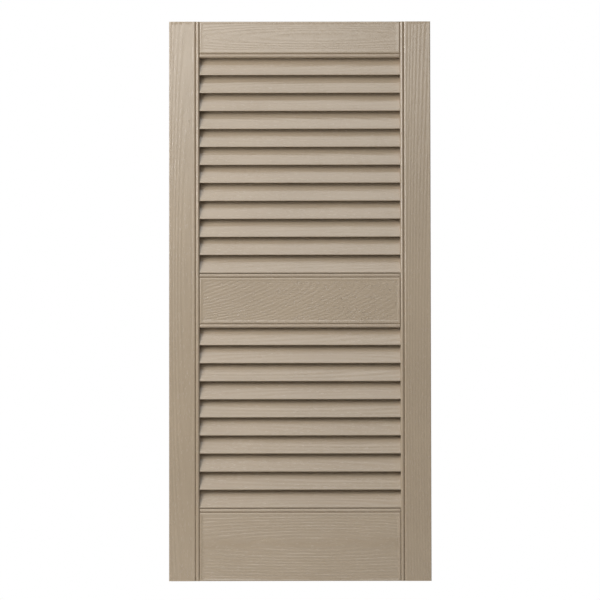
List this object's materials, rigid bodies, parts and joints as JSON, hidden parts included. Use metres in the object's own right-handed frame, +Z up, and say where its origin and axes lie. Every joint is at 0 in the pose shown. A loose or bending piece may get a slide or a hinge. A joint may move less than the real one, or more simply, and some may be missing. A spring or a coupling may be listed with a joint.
{
  "type": "louvred shutter",
  "caption": "Exterior louvred shutter: wood-grained stiles and rails around two banks of fixed slats, with screws behind and blind wall fixings.",
  "frame": {"origin": "centre of the frame's back plane, which is the centre of the four wall fixings", "axes": "+X right across the shutter, +Y back into the wall, +Z up; the front faces -Y"},
  "size_m": [0.3682, 0.0286, 0.7874],
  "materials": {
    "clay_polymer": "embossed wood grain, satin, coloured right through",
    "zinc_screw": "bright zinc plate"
  },
  "bodies": {
    "root": {"left_stile": "clay_polymer", "right_stile": "clay_polymer", "top_rail": "clay_polymer", "mid_rail": "clay_polymer", "bottom_rail": "clay_polymer", "upper_slat_01": "clay_polymer", "upper_slat_02": "clay_polymer", "upper_slat_03": "clay_polymer", "upper_slat_04": "clay_polymer", "upper_slat_05": "clay_polymer", "upper_slat_06": "clay_polymer", "upper_slat_07": "clay_polymer", "upper_slat_08": "clay_polymer", "upper_slat_09": "clay_polymer", "upper_slat_10": "clay_polymer", "upper_slat_11": "clay_polymer", "upper_slat_12": "clay_polymer", "lower_slat_01": "clay_polymer", "lower_slat_02": "clay_polymer", "lower_slat_03": "clay_polymer", "lower_slat_04": "clay_polymer", "lower_slat_05": "clay_polymer", "lower_slat_06": "clay_polymer", "lower_slat_07": "clay_polymer", "lower_slat_08": "clay_polymer", "lower_slat_09": "clay_polymer", "lower_slat_10": "clay_polymer", "top_rail_screws": "zinc_screw", "mid_rail_screws": "zinc_screw", "bottom_rail_screws": "zinc_screw"}
  },
  "joints": []
}
